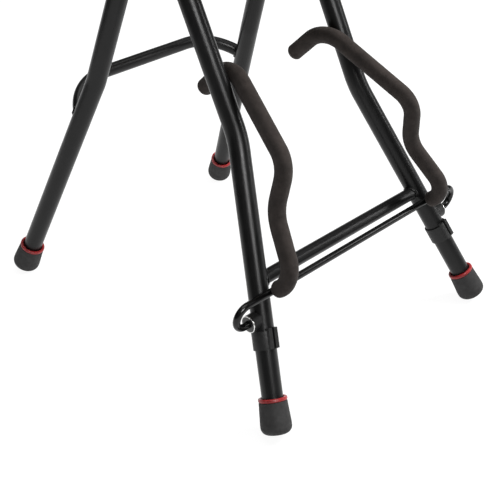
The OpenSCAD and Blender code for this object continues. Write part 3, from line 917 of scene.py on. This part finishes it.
def skin_radius(theta, z):
    """How far out the cushion's skin is, in direction theta at height z."""
    out = way_out(theta)
    reach = SEAT_R + 30 * MM
    hit = skin.ray_cast(Vector((CENTRE.x, CENTRE.y, z)) + out * reach, -out)
    return reach - hit[3] if hit[0] is not None else SEAM_R


def round_the_seat(z, proud):
    """Points round the skin at height z, and proud of it."""
    line = []
    for k in range(ROUND_COUNT):
        theta = 2 * math.pi * k / ROUND_COUNT
        r = sum(skin_radius(theta + d * 0.02, z) for d in (-2, -1, 0, 1, 2)) / 5 + proud
        line.append(Vector((CENTRE.x + r * math.cos(theta), CENTRE.y + r * math.sin(theta), z)))
    return line


def piping_radius(i, angle, distance, out):
    return PIPING_R * (1 + 0.03 * math.sin(distance / MM * 0.9))


for name, z, proud in (("seat_piping", SEAM_Z, 1.3 * MM), ("seat_piping_low", HEM_Z, 0.9 * MM)):
    piping = swept(round_the_seat(z, proud), piping_radius, 18, closed=True)
    add_piece(name, piping, SEAT, VINYL)

# a row of stitches above the piping
stitches = bmesh.new()
for k in range(STITCH_COUNT):
    out = way_out(2 * math.pi * k / STITCH_COUNT)
    start = Vector((CENTRE.x, CENTRE.y, SEAM_Z + 60 * MM)) + out * (SEAM_R - STITCH_INSET)
    hit = skin.ray_cast(start, Vector((0, 0, -1)))
    if hit[0] is None:
        continue
    up = hit[1]
    across = up.cross(out).normalized()
    place = Matrix.Translation(hit[0] + up * 0.15 * MM)
    turn = Matrix((across, up.cross(across), up)).transposed().to_4x4()
    bmesh.ops.create_icosphere(stitches, subdivisions=2, radius=1.0,
                               matrix=place @ turn @ Matrix.Diagonal((*STITCH_SIZE, 1)))
add_piece("seat_stitches", stitches, SEAT, THREAD)

# ---------------------------------------------------------------- the cover's fold and staples
FOLD_OUT, FOLD_IN, FOLD_T = SEAT_R - 1.6 * MM, BOARD_R - 24 * MM, 1.1 * MM
FOLD_COUNT = 256
FOLD_PROFILE = (
    (FOLD_OUT, HEM_Z), (FOLD_OUT, low.z + 1.6 * MM), (FOLD_OUT - 0.7 * MM, low.z + 0.1 * MM),
    (FOLD_OUT - 2.4 * MM, low.z - 0.8 * MM), (BOARD_R - 4 * MM, low.z - FOLD_T),
    (BOARD_R - 12 * MM, low.z - FOLD_T), (FOLD_IN + 1 * MM, low.z - FOLD_T),
    (FOLD_IN, low.z - 0.4 * MM), (FOLD_IN, low.z + 0.02 * MM),
)
STAPLE_COUNT, STAPLE_SIZE = 44, (10 * MM, 1.1 * MM, 0.5 * MM)


def cover_fold():
    """The cover folded under the board, pleated where it lies flat and ragged at its edge."""
    fold = bmesh.new()
    rings = []
    for level, (r, z) in enumerate(FOLD_PROFILE):
        ring = []
        for k in range(FOLD_COUNT):
            theta = 2 * math.pi * k / FOLD_COUNT
            pleat = 0.28 * MM * math.sin(theta * 40 + 1.4 * math.sin(theta * 7)) if 3 < level < 7 else 0.0
            edge = 0.9 * MM * math.sin(theta * 23 + 2 * math.sin(theta * 3)) if level > 5 else 0.0
            ring.append(fold.verts.new((CENTRE.x + (r + edge) * math.cos(theta),
                                        CENTRE.y + (r + edge) * math.sin(theta), z - pleat)))
        rings.append(ring)
    for a, b in zip(rings, rings[1:]):
        for k in range(FOLD_COUNT):
            n = (k + 1) % FOLD_COUNT
            fold.faces.new((a[k], a[n], b[n], b[k]))
    return fold


fold_piece = add_piece("seat_cover_fold", cover_fold(), SEAT, VINYL)
thick = fold_piece.modifiers.new("thick", "SOLIDIFY")
thick.thickness = 0.5 * MM
thick.offset = 0

staples = bmesh.new()
for k in range(STAPLE_COUNT):
    theta = 2 * math.pi * (k + 0.3 * math.sin(k * 2.3)) / STAPLE_COUNT
    place = Matrix.Translation(CENTRE + way_out(theta) * (FOLD_IN + 7 * MM)
                               + Vector((0, 0, low.z - FOLD_T - 0.45 * MM)))
    turn = Matrix.Rotation(theta + math.pi / 2 + 0.25 * math.sin(k * 1.9), 4, "Z")
    bmesh.ops.create_cube(staples, size=1.0, matrix=place @ turn @ Matrix.Diagonal((*STAPLE_SIZE, 1)))
bmesh.ops.bevel(staples, geom=list(staples.edges), offset=0.18 * MM, segments=2, affect="EDGES")
add_piece("seat_staples", staples, SEAT, ZINC)
